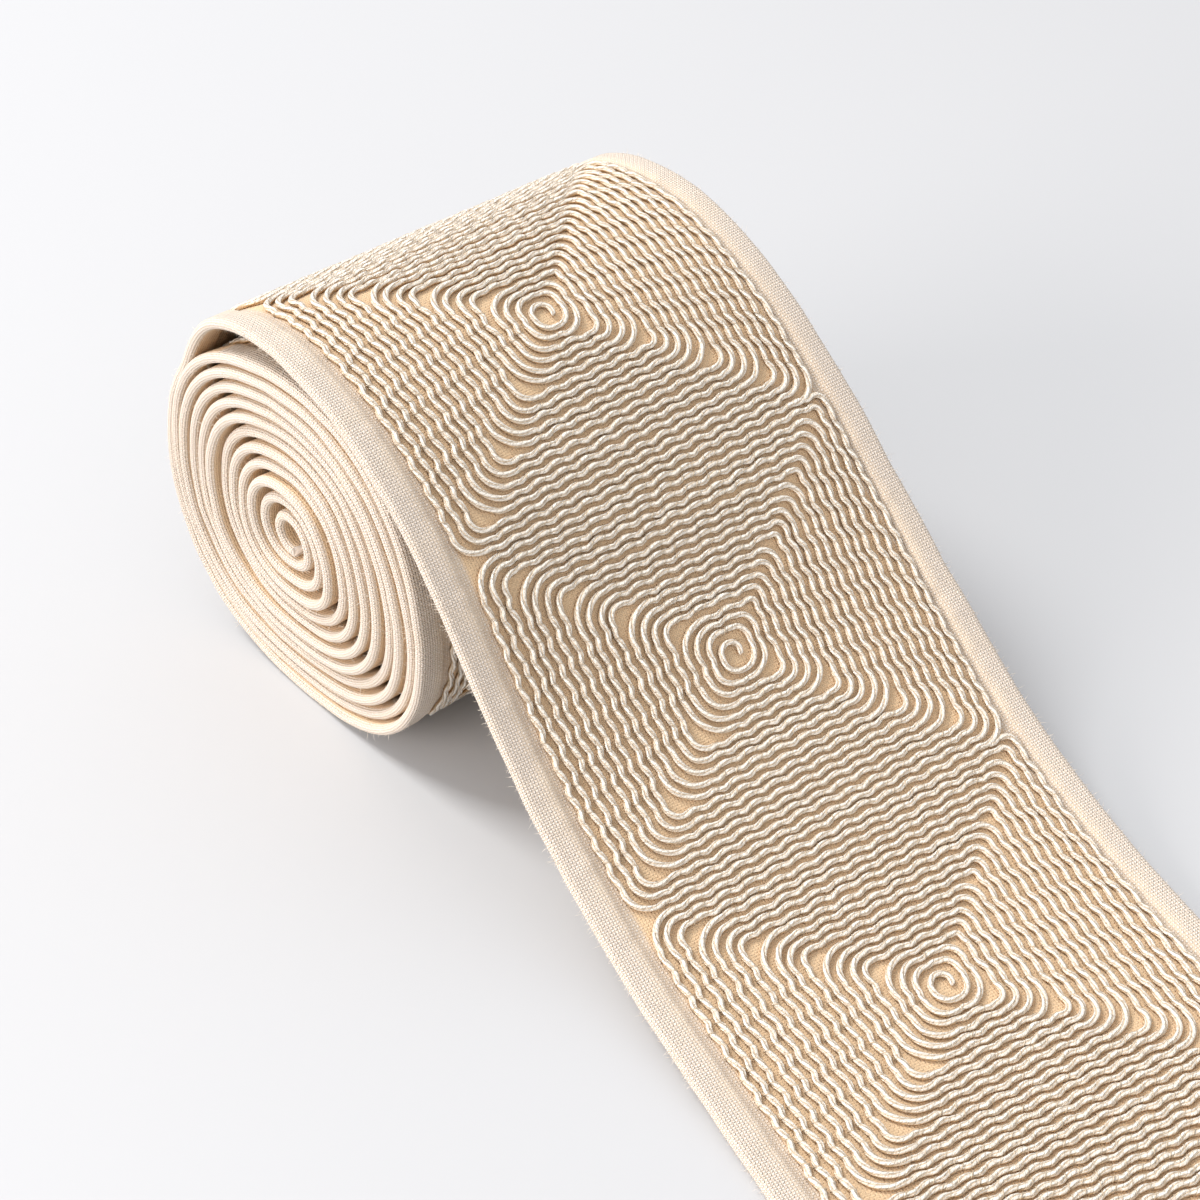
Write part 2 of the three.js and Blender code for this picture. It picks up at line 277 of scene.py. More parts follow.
# %% [markdown]
# ## Thousands of small tubes
#
# Stitches and fibres are far too many to be objects of their own. They are all points of one mesh, and
# the same few faces are repeated with a different first point number for each tube.

# %% Many tubes in one mesh
def many_tubes(name, points, material):
    """Many small closed tubes in one mesh, from points that are tubes x rings x sides x 3: the skin of
    each, then a cap at its root, turned the other way round, and one at its tip."""
    count, rings, sides = points.shape[:3]
    first = np.arange(count)[:, None, None] * rings * sides
    skin = (first + grid_faces(rings, sides)).reshape(-1, 4).tolist()
    ring = np.arange(sides)
    roots = (first[:, 0] + ring[::-1]).tolist()
    tips = (first[:, 0] + (rings - 1) * sides + ring).tolist()
    corners = 4 * len(skin) + 2 * sides * count
    return make_mesh(name, points, skin + roots + tips, np.zeros((corners, 2)), material)


# %% [markdown]
# ## Shader maths as plain expressions
#
# A small class wraps a socket. Adding or multiplying two of them adds the Math node that does it, so a
# formula in a material reads like a formula.

# %% Socket class
class Value:
    """One output socket that can be added to, taken away and multiplied."""

    def __init__(self, shader, socket):
        self.shader = shader
        self.socket = socket

    def maths(self, operation, *others):
        return self.shader.node("ShaderNodeMath", {"operation": operation}, self, *others)

    def __add__(self, other):
        return self.maths("ADD", other)

    def __radd__(self, other):
        return self.maths("ADD", other)

    def __sub__(self, other):
        return self.maths("SUBTRACT", other)

    def __rsub__(self, other):
        return self.shader.node("ShaderNodeMath", {"operation": "SUBTRACT"}, other, self)

    def __mul__(self, other):
        return self.maths("MULTIPLY", other)

    def __rmul__(self, other):
        return self.maths("MULTIPLY", other)

    def sine(self):
        return self.maths("SINE")

    def step(self, low, high):
        """0 below low, 1 above high, and an S curve between."""
        return self.shader.node("ShaderNodeMapRange", {"interpolation_type": "SMOOTHSTEP"}, self, low, high)


class Shader:
    """One material's node tree, with one method that adds any node."""

    def __init__(self, name):
        self.material = bpy.data.materials.new(name)
        self.material.use_nodes = True
        self.tree = self.material.node_tree
        self.tree.nodes.clear()
        self.output = self.tree.nodes.new("ShaderNodeOutputMaterial")
        self.surface = self.tree.nodes.new("ShaderNodeBsdfPrincipled")
        self.tree.links.new(self.surface.outputs[0], self.output.inputs["Surface"])

    def connect(self, value, socket):
        if isinstance(value, Value):
            self.tree.links.new(value.socket, socket)
        else:
            socket.default_value = value

    def node(self, kind, settings, *values, out=0, **named):
        """Adds one node: its settings first, then its sockets in order or by name."""
        node = self.tree.nodes.new(kind)
        for setting, choice in settings.items():
            setattr(node, setting, choice)
        for socket, value in zip(node.inputs, values):
            self.connect(value, socket)
        for name, value in named.items():
            self.connect(value, node.inputs[name.replace("_", " ")])
        return Value(self, node.outputs[out])

    def noise(self, place, scale, detail):
        return self.node("ShaderNodeTexNoise", {}, Vector=place, Scale=scale, Detail=detail)

    def split(self, vector):
        node = self.tree.nodes.new("ShaderNodeSeparateXYZ")
        self.connect(vector, node.inputs[0])
        return [Value(self, output) for output in node.outputs]

    def mix(self, factor, first, second):
        node = self.tree.nodes.new("ShaderNodeMix")
        node.data_type = "RGBA"
        self.connect(factor, node.inputs["Factor"])
        self.connect(first, node.inputs[6])
        self.connect(second, node.inputs[7])
        return Value(self, node.outputs[2])

    def finish(self, colour, roughness, height, bump_distance, strength=1.0, **constants):
        self.connect(colour, self.surface.inputs["Base Color"])
        self.connect(roughness, self.surface.inputs["Roughness"])
        bump = self.node("ShaderNodeBump", {}, Strength=strength, Distance=bump_distance, Height=height)
        self.connect(bump, self.surface.inputs["Normal"])
        for name, value in constants.items():
            self.surface.inputs[name.replace("_", " ")].default_value = value
        return self.material


# %% [markdown]
# ## Cotton cloth
#
# A plain weave: warp threads run along the tape and weft threads across it, each passing over and under
# the next. The product of two sines says which of the two is on top, and the ridge of that thread gives
# the bump. The hollows between threads are painted a little darker, as painted shade, and slow noise keeps
# the dye uneven. One attribute of the mesh says how far a place lies inside the field or a gap of the
# roll, where the weave is softer and the cloth is painted browner: painted shade, warm like the light that
# bounces between the cords and between the turns.

# %% Cloth material
THREAD = 0.62


def cloth_material():
    """checker = sine of the warp's phase x sine of the weft's. Its crests are the warp threads that lie
    on top and its troughs the weft threads."""
    shader = Shader("woven cotton")
    place = shader.node("ShaderNodeUVMap", {"uv_map": "flat"})
    lengthwise, crosswise, _ = shader.split(place)
    turn = math.pi / (THREAD * UV_SCALE)
    wobble = shader.noise(place, 9.0, 3.0)
    warp_phase = lengthwise * turn + wobble * 2.6
    weft_phase = crosswise * turn + wobble * 2.2
    checker = warp_phase.sine() * weft_phase.sine()
    over = checker.step(-0.2, 0.9)
    under = (checker * -1).step(-0.2, 0.9)
    inset_and_painted_shade = shader.node("ShaderNodeAttribute", {"attribute_name": "inset_and_painted_shade"}, out=2)
    clear = 1 - inset_and_painted_shade.step(0.05, 0.5) * 0.55
    threads = (over + under * 0.55) * clear
    lumps = shader.noise(place, 38.0, 4.0)
    slow = shader.noise(place, 1.3, 4.0)
    light = (0.855, 0.77, 0.69, 1)
    shade = (0.65, 0.52, 0.385, 1)
    warm = (0.84, 0.70, 0.54, 1)
    shade_tan = (0.80, 0.575, 0.35, 1)
    # Painted shade: where no thread is on top, in the hollows, the cloth takes the shade colour, and the
    # tops of the threads take the light one.
    base = shader.mix(threads.step(0.0, 0.5), shade, light)
    base = shader.mix(slow.step(0.45, 0.75) * 0.35, base, warm)
    # Painted shade: deep in the field and in the gaps of the roll the cloth is browned towards tan.
    base = shader.mix(inset_and_painted_shade.step(0.86, 1.0) * 0.9, base, shade_tan)
    height = threads * 0.9 + lumps * 0.3
    return shader.finish(base, 0.9, height, 0.0005, strength=1.0,
                         Sheen_Weight=0.2, Sheen_Roughness=0.45, Sheen_Tint=(1.0, 0.93, 0.85, 1),
                         Specular_IOR_Level=0.2)


cloth = cloth_material()

# %% [markdown]
# ## Satin cord
#
# The cord is four plies of glossy yarn with very little twist, bound by a fine thread. Its bump is a
# slow slanted wave for the plies and a fast one for the thread. The grooves between the plies are painted
# dark, and the flanks are painted browner than the top and the foot brownest, all as painted shade, which
# draws a thin dark line beside every row. A few specks of yarn are dull.

# %% Cord material
TWIST_PITCH = 22.0
PLIES = 4
WRAP_PITCH = 1.1
CORD_RADIUS = 0.7


def cord_material():
    """ply = sine of (plies x (angle round the cord + 2 pi x distance / twist pitch)). The sine of the
    angle is 1 on top of the cord and -1 under it, so its negative finds the lower sides and the underside,
    which are painted browner as painted shade."""
    shader = Shader("satin cord")
    place = shader.node("ShaderNodeUVMap", {"uv_map": "flat"})
    lengthwise, around, _ = shader.split(place)
    distance = lengthwise * (1 / UV_SCALE)
    angle = around * (1 / (UV_SCALE * CORD_RADIUS))
    strand = (angle * PLIES + distance * (2 * math.pi * PLIES / TWIST_PITCH)).sine()
    wrap = (distance * (2 * math.pi / WRAP_PITCH) + angle * 2.0).sine()
    fibre = shader.noise(place, 45.0, 3.0)
    flank_shade = (angle.sine() * -1).step(-0.7, 0.3)
    foot_shade = (angle.sine() * -1).step(-0.3, 0.25)
    ivory = (0.98, 0.91, 0.805, 1)
    groove_shade_and_speck = (0.56, 0.39, 0.215, 1)
    flank_shade_colour = (0.86, 0.58, 0.275, 1)
    foot_shade_colour = (0.48, 0.26, 0.095, 1)
    # Painted shade: the grooves between the plies take a dark brown, the lower sides a tan and the
    # underside a darker brown, where little light reaches.
    base = shader.mix(strand.step(-1.05, -0.6), groove_shade_and_speck, ivory)
    base = shader.mix(flank_shade * 0.85, base, flank_shade_colour)
    base = shader.mix(foot_shade * 0.75, base, foot_shade_colour)
    speck = shader.noise(place, 17.0, 2.0).step(0.54, 0.64)
    # The same dark brown marks a few dull specks, a real tone of the yarn.
    base = shader.mix(speck * 0.4, base, groove_shade_and_speck)
    height = strand.step(-1.0, 0.3) * 1.0 + wrap.step(-1.0, -0.5) * 0.45 + fibre * 0.7 - speck * 0.5
    rough = fibre * 0.2 + speck * 0.25 + 0.16
    return shader.finish(base, rough, height, 0.00034, strength=0.9,
                         Coat_Weight=0.35, Coat_Roughness=0.2, Specular_IOR_Level=0.9)


def thread_material():
    """Brown sewing thread, mottled by one fine noise."""
    shader = Shader("sewing thread")
    place = shader.node("ShaderNodeTexCoord", {}, out=3)
    fibre = shader.noise(place, 3000.0, 1.0)
    base = shader.mix(fibre, (0.40, 0.30, 0.19, 1), (0.74, 0.63, 0.49, 1))
    return shader.finish(base, 0.5, fibre, 0.00005, Specular_IOR_Level=0.5)


def fibre_material():
    """Pale cotton, with a tone that changes slowly from fibre to fibre."""
    shader = Shader("cotton fibre")
    place = shader.node("ShaderNodeTexCoord", {}, out=3)
    tone = shader.noise(place, 200.0, 1.0)
    base = shader.mix(tone, (0.80, 0.70, 0.58, 1), (0.93, 0.87, 0.79, 1))
    return shader.finish(base, 0.8, tone, 0.00001, Specular_IOR_Level=0.2)


satin = cord_material()
thread = thread_material()
fluff = fibre_material()
print("materials:", *(material.name for material in (cloth, satin, thread, fluff)), sep=" / ")

# %% [markdown]
# ## The cloth of the tape
#
# The cloth is one closed skin: a cross-section carried along the whole tape. Both long edges end in a
# rounded fold. The section's points lie close together at the folds, where the shape needs them, and
# wide apart in the plain field.

# %% Cloth section
FOLD_RADIUS = (HEM_TOP - HEM_UNDER) / 2
FOLD_MIDDLE = (HEM_TOP + HEM_UNDER) / 2
HEM_STEP = (5.9, 7.4)


def section_side():
    """One edge of the tape from the middle of its top, round the fold, to the middle underneath."""
    field = np.array([TAPE_WIDTH / 2, 40.0, 25.0, 14.0, 9.5])
    step = np.linspace(HEM_STEP[1], HEM_STEP[0], 5)
    flat = np.array([4.4, 2.8, 1.6])
    arc = np.radians(np.linspace(90, 270, 9))
    top_side = np.concatenate([field, step, flat])
    top = FIELD_TOP + (HEM_TOP - FIELD_TOP) * smooth_between(HEM_STEP[1], HEM_STEP[0], top_side)
    under_side = np.array([2.0, 4.0, 6.0, 6.7, 7.0, 20.0, TAPE_WIDTH / 2])
    under = FIELD_UNDER + (HEM_UNDER - FIELD_UNDER) * smooth_between(7.0, 6.5, under_side)
    side = np.concatenate([top_side, FOLD_RADIUS + FOLD_RADIUS * np.cos(arc), under_side])
    height = np.concatenate([top, FOLD_MIDDLE + FOLD_RADIUS * np.sin(arc), under])
    return side, height


def closed_section():
    """The near edge, then the same points mirrored for the far edge, in one closed loop."""
    side, height = section_side()
    far_side, far_height = TAPE_WIDTH - side[-2:0:-1], height[-2:0:-1]
    return np.concatenate([side, far_side]), np.concatenate([height, far_height])


def cloth_distances():
    """Close rows where the turns are small, wide rows where they are large, closest at the end's fold."""
    spacing = np.clip(0.09 * turn_radius(turns), 0.45, 1.7)
    count = np.concatenate([[0], np.cumsum(np.diff(roll_distance) / spacing[1:])])
    inner = np.interp(np.arange(0, count[-1]), count, roll_distance)
    outer = np.arange(inner[-1] + 1.1, loose_length - FOLD_RADIUS - 0.5, 1.1)
    fold = loose_length - FOLD_RADIUS * (1 - np.sin(np.radians([0, 25, 50, 70, 83])))
    return np.concatenate([inner, outer, fold])


print("the cross-section has", len(closed_section()[0]), "points and is carried through",
      len(cloth_distances()), "places")

# %% [markdown]
# ## Hems, puckers and stray edges
#
# A machine could make the strip straight, but a sewn one is never quite so. The end is doubled like the
# long edges, the stitching dimples the margin, and each edge wanders a little.

# %% What sewing does to the cloth
PUCKER_PLACE = 5.6
PUCKER_WIDTH = 2.0
STRAY_SPACING = 6.0
STRAY_SIZE = 0.08
STRAY_DEPTH = 12


def end_hem(distance, height):
    """The last few millimetres are doubled too, and end in the same round fold."""
    doubled = smooth_between(loose_length - HEM_STEP[1], loose_length - HEM_STEP[0], distance)
    target = np.where(height > FOLD_MIDDLE, HEM_TOP, HEM_UNDER)
    height = height + (target - height) * doubled
    past = np.clip((distance - loose_length + FOLD_RADIUS) / FOLD_RADIUS, 0, 1)
    return FOLD_MIDDLE + (height - FOLD_MIDDLE) * np.sqrt(1 - past ** 2)


def smooth_noise(distance, spacing, size, seed):
    """Random numbers a spacing apart, joined by an S curve."""
    table = np.random.default_rng(seed).normal(0, size, int(distance.max() / spacing) + 3)
    cell = (distance / spacing).astype(int)
    t = distance / spacing - cell
    t = t * t * (3 - 2 * t)
    return table[cell] * (1 - t) + table[cell + 1] * t


def puckers(distance, side, height, seed):
    """The stitching draws the margin into small dimples beside the outermost cord."""
    start = distance - way[0]
    rise = smooth_noise(start, 2.6, 0.13, seed) + smooth_noise(start, 9.0, 0.1, seed + 1)
    return np.where(height > 0, rise[:, None] * np.exp(-((side - PUCKER_PLACE) / PUCKER_WIDTH) ** 2), 0.0)


def edge_waver(distance, side, seed):
    """Each edge strays by a fraction of a millimetre, and the stray dies out towards the field."""
    knots = np.arange(way[0] - 20, loose_length + 20, STRAY_SPACING)
    sizes = np.random.default_rng(seed).normal(0, STRAY_SIZE, len(knots))
    stray = np.interp(distance, knots, sizes)
    return stray[:, None] * np.clip(1 - side / STRAY_DEPTH, 0, 1) ** 2


print("the end is doubled over its last", HEM_STEP[0], "mm, and puckers lie", PUCKER_PLACE,
      "mm from each edge")

# %% Lay the cloth
OUTER_TURN = -285.0
GAP_SHADE = (0.25, 1.4)
FIELD_SHADE = (1.8, 9.6)
sheet_side, sheet_height = closed_section()
sheet_way = cloth_distances()
sheet_places = (sheet_side + edge_waver(sheet_way, sheet_side, 5)
                + edge_waver(sheet_way, TAPE_WIDTH - sheet_side, 6))
sheet_lift = (end_hem(sheet_way[:, None], sheet_height) + puckers(sheet_way, sheet_side, sheet_height, 7)
              + puckers(sheet_way, TAPE_WIDTH - sheet_side, sheet_height, 9))
cloth_grid = on_tape(sheet_way[:, None], sheet_places, sheet_lift)
loop_side, loop_height = (np.append(values, values[0]) for values in (sheet_side, sheet_height))
girth = np.concatenate([[0], np.cumsum(np.hypot(np.diff(loop_side), np.diff(loop_height)))])
from_edge = np.minimum(sheet_side, TAPE_WIDTH - sheet_side)
# Painted shade: how far each point lies inside the field, or inside a gap between the turns, sets how much
# the cloth is browned as painted shade and how soft its weave is. It fades out at the doubled end.
in_gap = smooth_between(*GAP_SHADE, from_edge)
in_field = np.where(sheet_height > 0, smooth_between(*FIELD_SHADE, from_edge), in_gap)
inset_and_painted_shade = np.where(sheet_way[:, None] < OUTER_TURN, in_gap, in_field)
inset_and_painted_shade *= 1 - smooth_between(loose_length - END_HEM, loose_length - HEM_STEP[0], sheet_way)[:, None]
tape_cloth = make_piece("tape_cloth", cloth_grid, sheet_way, girth, cloth, inset_and_painted_shade=inset_and_painted_shade)
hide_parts("wound_roll", "loose_end")

# %% [markdown]
# ## The route of one cord
#
# Each square is one cord, sewn down from the outside in. On the flat tape its route is a rounded
# rectangle that shrinks as it goes round, so it is a spiral. The corner radius changes from loop to loop
# in a sawtooth, as it does by hand or machine, and where it jumps a little of the ground shows through.

# %% Cord route on the flat tape
LOOPS = 19.2
CURL_LOOP = 18.4
CURL_STEP = 3.1
FIRST_LOOP = -0.14
HALF_LENGTH = REPEAT / 2
HALF_WIDTH = 46.9
FIELD_MIDDLE = 54.9
LENGTH_STEP = 1.99
WIDTH_STEP = 2.36
WAVE = 6.1
WAVE_SWING = 0.3
CORD_STEP = 0.7


def corner_radii(loop, half):
    """Four radii for each loop: a sawtooth of the loop number, its start shifted at each corner."""
    starts = np.array([0.15, 0.55, 0.35, 0.8])
    periods = np.array([4.3, 5.1, 3.9, 4.7])
    widest = np.array([6.2, 7.6, 7.4, 3.6])
    tightest = np.array([1.9, 2.8, 2.4, 1.0])
    saw = (np.floor(loop)[:, None] / periods + starts) % 1
    radii = widest + (tightest - widest) * saw
    return np.minimum(radii, 0.92 * half[:, None])


def rounded_rectangle(share, length_half, width_half, radii):
    """Goes once round as share runs from 0 to 1, a quarter at a time: from the middle of one side,
    through a corner's arc, to the middle of the next. The sides in order are the far edge's, the one
    further along, the near edge's and the one further back. Gives the place, the way outwards, the
    side's number, and the room to the corner."""
    row = np.arange(len(share))
    quarter = np.minimum((4 * share).astype(int), 3)
    radius = radii[row, quarter]
    halves = np.stack([length_half, width_half], 1)
    first = halves[row, quarter % 2] - radius
    second = halves[row, (quarter + 1) % 2] - radius
    arc = radius * (math.pi / 2)
    local = (4 * share - quarter) * (first + arc + second)
    bend = np.clip((local - first) / arc, 0, 1)
    facing = -(quarter + bend) * (math.pi / 2)
    forward = np.stack([np.cos(facing), np.sin(facing)], 1)
    outward = np.stack([-np.sin(facing), np.cos(facing)], 1)
    corner = np.array([(1, 1), (1, -1), (-1, -1), (-1, 1)])[quarter]
    centre = corner * np.stack([length_half - radius, width_half - radius], 1)
    beyond = np.minimum(local - first, 0) + np.maximum(local - first - arc, 0)
    place = centre + outward * radius[:, None] + forward * beyond[:, None]
    side = np.where(bend < 1, quarter, (quarter + 1) % 4)
    return place, outward, side, np.abs(beyond)


def cord_route():
    """The spiral's centre line on the flat tape, from its outer end to its curl."""
    loop = np.linspace(FIRST_LOOP, LOOPS, 40000)
    curl = np.maximum(loop - CURL_LOOP, 0)
    length_half = HALF_LENGTH - LENGTH_STEP * (loop - curl) - CURL_STEP * curl
    width_half = HALF_WIDTH - WIDTH_STEP * (loop - curl) - CURL_STEP * curl
    radii = corner_radii(loop, np.minimum(length_half, width_half))
    place, outward, side, room = rounded_rectangle(loop % 1, length_half, width_half, radii)
    side_loop = np.where(side == 0, np.floor(loop + 0.5), np.floor(loop)).astype(int)
    return place, outward, side, room, side_loop


print("one cord goes round", LOOPS, "times")

# %% [markdown]
# ## Waves, pinches and the thread that makes them
#
# The cord is held by a stitch every few millimetres. Each stitch pulls it a little to one side and
# pinches it, so the cord waves between its stitches. Along the tape each row's waves lag behind its
# neighbour's by a chance amount, so the gaps between the rows open and close. Across the tape the rows
# are small scallops instead.

# %% Cord solid on the flat tape
CORD_SIDES = 8
PINCH_SHARE = 0.2
PINCH_WIDTH = 0.16
PINCH_SINK = 0.14
CORD_REST = 0.93
END_TAPER = 0.8
HIDDEN_STEP = 1.4


def cord_line(seed, spacing):
    """The spiral with its waves: side-step = swing x (sine + a fifth of the double sine), faded out at
    the corners. Returned at even steps: place, distance along the cord, phase of the wave, swing."""
    place, outward, side, room, side_loop = cord_route()
    lengthwise = side % 2 == 0
    chance = np.random.default_rng(seed)
    lag = chance.uniform(0.1, 0.9, (2, 64))
    lag[0, :3] += 1.1
    shift = np.cumsum(lag, axis=1)
    phase = np.where(lengthwise, place[:, 0] * (2 * math.pi / WAVE) + shift[0, side_loop],
                     place[:, 1] * (2 * math.pi / WAVE) + shift[1, side_loop])
    swing = WAVE_SWING * smooth_between(0.0, 1.8, room)
    steps = np.linalg.norm(np.diff(place, axis=0), axis=1)
    distance = np.concatenate([[0], np.cumsum(steps)])
    ripple = np.sin(phase) + 0.22 * np.sin(2 * phase)
    scallop = np.sign(outward[:, 0]) * (1.3 - 2.2 * np.abs(np.sin(phase / 2)))
    step = swing * np.where(lengthwise, ripple, scallop) + smooth_noise(distance, 7.0, 0.11, seed + 1)
    step += smooth_noise(distance, 2.2, 0.05, seed + 4)
    place = place + outward * step[:, None]
    even = np.arange(0, distance[-1], spacing)
    pick = np.searchsorted(distance, even)
    return place[pick], even, phase[pick], swing[pick]


def cord_tube(name, square, seed):
    """A tube of circular section carried along the cord's line on the flat tape, thinner and lower
    at each stitch, then mapped to space."""
    hidden = square < -1
    place, distance, phase, swing = cord_line(seed, CORD_STEP * (HIDDEN_STEP if hidden else 1))
    sides = CORD_SIDES - 2 * hidden
    forward = np.gradient(place, axis=0)
    forward /= np.maximum(np.linalg.norm(forward, axis=1, keepdims=True), 1e-9)
    sideways = np.stack([-forward[:, 1], forward[:, 0]], 1)
    pinch = np.exp(-((np.mod(phase / math.pi, 1) - 0.5) / PINCH_WIDTH) ** 2)
    pinch *= np.clip(swing / WAVE_SWING, 0, 1)
    radius = CORD_RADIUS * (1 - PINCH_SHARE * pinch)
    radius *= 1 + smooth_noise(distance, 4.0, 0.03, seed + 2)
    ends = np.minimum(distance, distance[-1] - distance)
    radius *= np.sqrt(np.clip(ends / END_TAPER, 0.05, 1))
    height = (FIELD_TOP + CORD_REST * CORD_RADIUS - PINCH_SINK * pinch
              + smooth_noise(distance, 7.0, 0.04, seed + 3))
    angle = np.arange(sides) * (2 * math.pi / sides)
    flat = place[:, None, :] + sideways[:, None, :] * (radius[:, None] * np.cos(angle))[..., None]
    lift = height[:, None] + radius[:, None] * np.sin(angle)
    start = (square + 0.5) * REPEAT
    grid = on_tape(start + flat[..., 0], FIELD_MIDDLE + flat[..., 1], lift)
    around = np.arange(sides + 1) * (2 * math.pi * CORD_RADIUS / sides)
    print(name, "is", round(distance[-1] / 1000, 2), "m of cord")
    return make_piece(name, grid, distance, around, satin)


for square in range(-ROLL_SQUARES, LOOSE_SQUARES):
    cord_tube(f"cord_{square + ROLL_SQUARES + 1}", square, 11 * (square + 9))

# %% [markdown]
# ## Couching stitches
#
# The small stitches themselves: at each pinch a fine thread comes up on one side of the cord, goes over
# it at a slant, and goes down again on the other side.

# %% Stitches over the cords
STITCH_RADIUS = 0.17
STITCH_SLANT = 0.5
STITCH_SEGMENTS = 4
STITCH_SIDES = 3


def stitches(name, square, seed):
    """A half ring over the cord at every pinch, as one mesh of small tubes whose feet are sunk in the
    cloth."""
    place, distance, phase, swing = cord_line(seed, CORD_STEP / 4)
    turn_count = np.floor(phase / math.pi - 0.5)
    crossing = np.flatnonzero(np.abs(np.diff(turn_count)) == 1)
    crossing = crossing[(swing[crossing] > 0.5 * WAVE_SWING) & (distance[crossing] > 3)]
    forward = unit(np.gradient(place, axis=0))[crossing]
    sideways = np.stack([-forward[:, 1], forward[:, 0]], 1)
    arch = np.linspace(-0.25, math.pi + 0.25, STITCH_SEGMENTS + 1)
    reach = CORD_RADIUS * 0.82 + 0.5 * STITCH_RADIUS
    round_it = np.arange(STITCH_SIDES) * (2 * math.pi / STITCH_SIDES)
    reaches = reach + STITCH_RADIUS * np.cos(round_it)
    across_it = np.cos(arch)[:, None] * reaches
    along_it = STITCH_SLANT * np.cos(arch)[:, None] - STITCH_RADIUS * np.sin(round_it)
    lift = FIELD_TOP + 0.9 * CORD_RADIUS - PINCH_SINK + np.sin(arch)[:, None] * reaches
    flat = (place[crossing][:, None, None, :] + forward[:, None, None, :] * along_it[..., None]
            + sideways[:, None, None, :] * across_it[..., None])
    start = (square + 0.5) * REPEAT
    points = on_tape(start + flat[..., 0], FIELD_MIDDLE + flat[..., 1], lift[None])
    return many_tubes(name, points, thread)


for square in range(-1, LOOSE_SQUARES):
    stitches(f"stitches_{square + ROLL_SQUARES + 1}", square, 11 * (square + 9))

# %% [markdown]
# ## Cords of the inner turns
#
# The squares of the inner turns are hidden, but their outermost rows can just be seen between the turns
# from either end of the roll. Two waving rows by each edge stand for them.

# %% Rows by the edges of the inner turns
INNER_STEP = 1.0
INNER_SIDES = 6


def edge_row(name, side, seed):
    """A straight row with the same waves, from the roll's inner end to where the whole squares begin."""
    distance = np.arange(way[0] + 6, -ROLL_SQUARES * REPEAT - 1, INNER_STEP)
    place = side + WAVE_SWING * np.sin(distance * (2 * math.pi / WAVE) + seed)
    angle = np.arange(INNER_SIDES) * (2 * math.pi / INNER_SIDES)
    grid = on_tape(distance[:, None], place[:, None] + CORD_RADIUS * np.cos(angle),
                   FIELD_TOP + 0.7 * CORD_RADIUS + 0.8 * CORD_RADIUS * np.sin(angle))
    around = np.arange(INNER_SIDES + 1) * (2 * math.pi * CORD_RADIUS / INNER_SIDES)
    return make_piece(name, grid, distance, around, satin)


row_sides = (MARGIN + 0.7, MARGIN + 3.1, TAPE_WIDTH - MARGIN - 3.1, TAPE_WIDTH - MARGIN - 0.7)
for number, side in enumerate(row_sides):
    edge_row(f"inner_row_{number + 1}", side, number)

# %% [markdown]
# ## Loose fibres on the edges
#
# Cotton sheds short fibres along every fold. They are thin spikes that leave the rim of the hem, bend as
# they go, and end in a point.

# %% Fibres on both edges
FIBRES = 2600
FIBRE_RADIUS = 0.05


def fibres(name, side_sign, seed):
    """Tapered three-sided spikes: place = root + reach x (way out, leaning along the tape), t from 0
    to 1 along the spike, with a bend that grows as t squared."""
    chance = np.random.default_rng(seed)
    distance = np.concatenate([chance.uniform(0, loose_length - 2, FIBRES // 2),
                               chance.uniform(way[0] + 5, 0, FIBRES // 2)])
    around = chance.uniform(-1.4, 1.4, FIBRES)
    reach = FOLD_RADIUS + np.minimum(chance.gamma(2.0, 0.34, FIBRES), 1.7)
    lean, bend = chance.normal(0, 0.5, (2, FIBRES))
    t = np.array([0.0, 0.5, 1.0])
    ring = np.radians([90, 210, 330])
    out = (FOLD_RADIUS * 0.9 + (reach - FOLD_RADIUS * 0.9)[:, None] * t)[:, :, None]
    taper = (FIBRE_RADIUS * np.array([1.0, 0.7, 0.05]))[None, :, None]
    turn = (around[:, None] + 0.5 * bend[:, None] * t * t)[:, :, None] + 0 * ring
    outward = out * np.cos(turn) - taper * np.cos(ring) * np.sin(turn)
    lift = FOLD_MIDDLE + out * np.sin(turn) + taper * np.cos(ring) * np.cos(turn)
    shift = distance[:, None] + lean[:, None] * t * (reach - FOLD_RADIUS)[:, None]
    shift = shift[:, :, None] + side_sign * taper * np.sin(ring)
    from_edge = FOLD_RADIUS - outward
    side = from_edge if side_sign < 0 else TAPE_WIDTH - from_edge
    return many_tubes(name, on_tape(shift, side, lift), fluff)


fibres("near_fibres", -1, 71)
fibres("far_fibres", 1, 72)

# %% [markdown]
# ## The sheet and its size

# The whole tape is one draped sheet. Its flat size is the tape's width by the length of the path.

print("flat tape", TAPE_WIDTH, "x", round(loose_length - way[0]), "mm")

# %% [markdown]
# ## Table, light and camera
#
# The tape lies on a plain pale table in a bright white room. A small window high on the left draws the
# soft shadows, and a large warm reflector stands low in front of the roll's end.

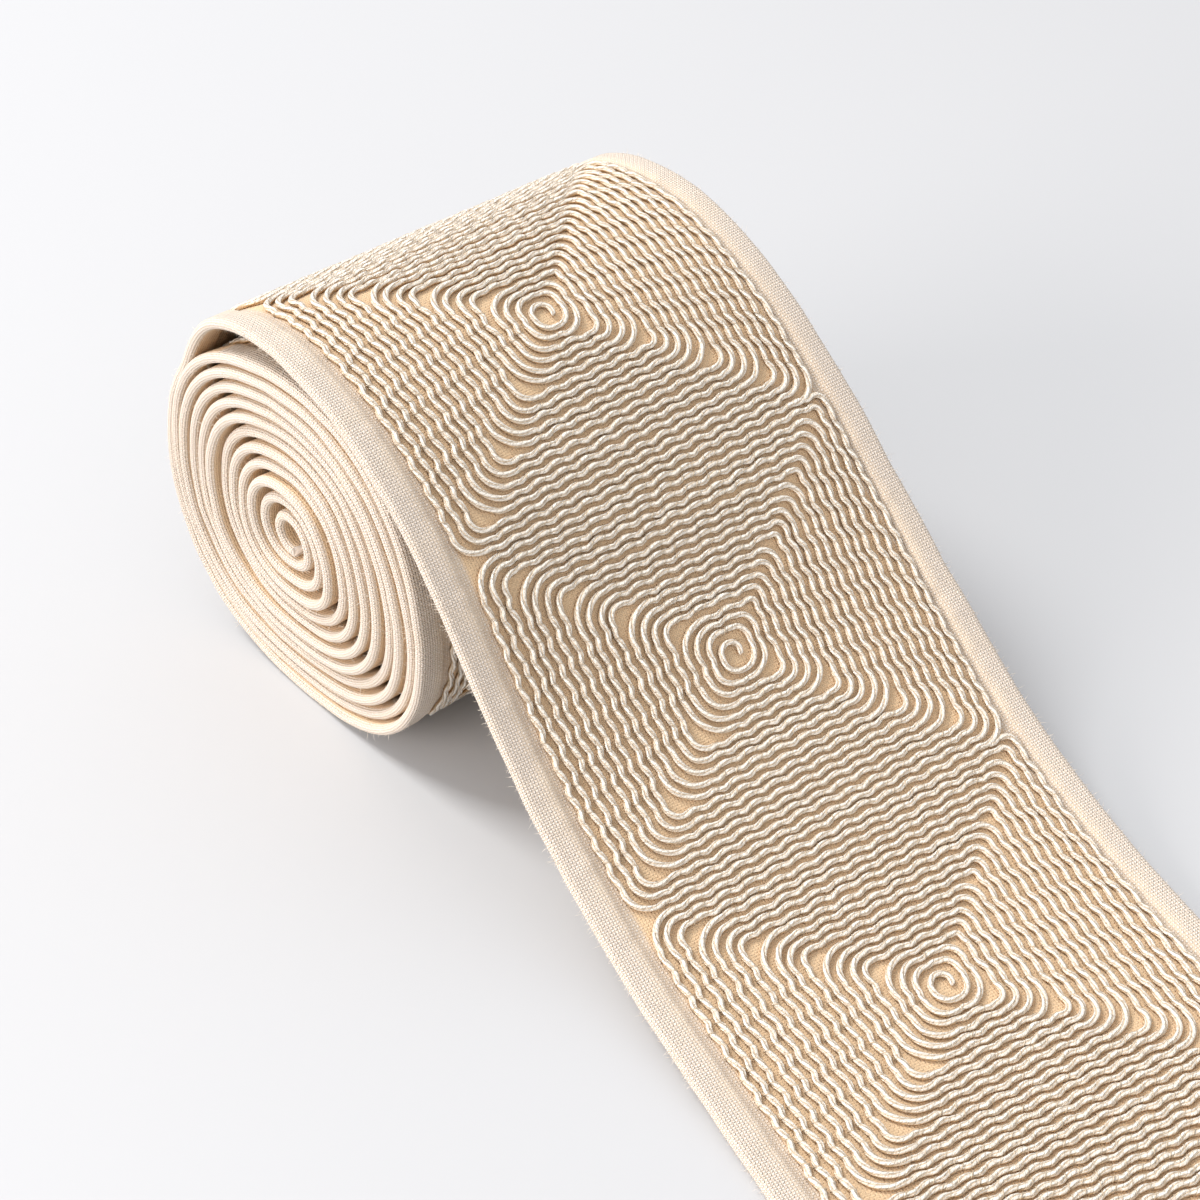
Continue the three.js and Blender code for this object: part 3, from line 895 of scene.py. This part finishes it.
# %% Table, light and camera
def plain_floor():
    """One large square of pale table with a very fine grain."""
    shader = Shader("pale table")
    place = shader.node("ShaderNodeTexCoord", {}, out=3)
    grain = shader.noise(place, 300.0, 2.0)
    material = shader.finish((0.525, 0.533, 0.549, 1), 0.6, grain, 0.00002, strength=0.1)
    mesh = bpy.data.meshes.new("table")
    reach = 6.0
    corners = [(-reach, -reach, 0), (reach, -reach, 0), (reach, reach, 0), (-reach, reach, 0)]
    mesh.from_pydata(corners, [], [(0, 1, 2, 3)])
    mesh.materials.append(material)
    table = bpy.data.objects.new("table", mesh)
    bpy.context.scene.collection.objects.link(table)


def area_light(name, size, power, azimuth, elevation, distance, colour):
    """A square light aimed at the middle of the part. Azimuth 0 is straight in front, towards -Y, and it
    grows towards +X; elevation is the height above the table, in degrees."""
    turn, rise = math.radians(azimuth), math.radians(elevation)
    lamp = bpy.data.lights.new(name, "AREA")
    lamp.size = size
    lamp.energy = power
    lamp.color = colour
    holder = bpy.data.objects.new(name, lamp)
    level = distance * math.cos(rise)
    holder.location = (level * math.sin(turn), -level * math.cos(turn), distance * math.sin(rise))
    holder.rotation_euler = (math.radians(90 - elevation), 0, turn)
    bpy.context.scene.collection.objects.link(holder)


def camera():
    """The photograph's view: a 63.45 mm lens, 39.5 degrees down and 48.61 degrees round to the right."""
    lens = bpy.data.cameras.new("view")
    lens.lens = 63.45
    lens.sensor_width = 36.0
    lens.clip_start = 0.01
    holder = bpy.data.objects.new("view", lens)
    eye_from_roll = np.array([311.6, -185.2, 320.0])
    holder.location = (eye_from_roll + frame_shift) * MM
    holder.rotation_euler = (math.radians(90 - 39.5), 0, math.radians(48.61))
    bpy.context.scene.collection.objects.link(holder)
    bpy.context.scene.camera = holder


plain_floor()
area_light("window", 0.66, 35.0, -68, 53, 2.2, (1.0, 0.985, 0.965))
area_light("reflector", 1.6, 58.0, -10, 13, 2.2, (1.0, 0.93, 0.885))
world = bpy.data.worlds.new("room")
world.use_nodes = True
world.node_tree.nodes["Background"].inputs["Color"].default_value = (0.985, 0.985, 1.0, 1)
world.node_tree.nodes["Background"].inputs["Strength"].default_value = 0.84
bpy.context.scene.world = world
bpy.context.scene.view_settings.view_transform = "Standard"
camera()
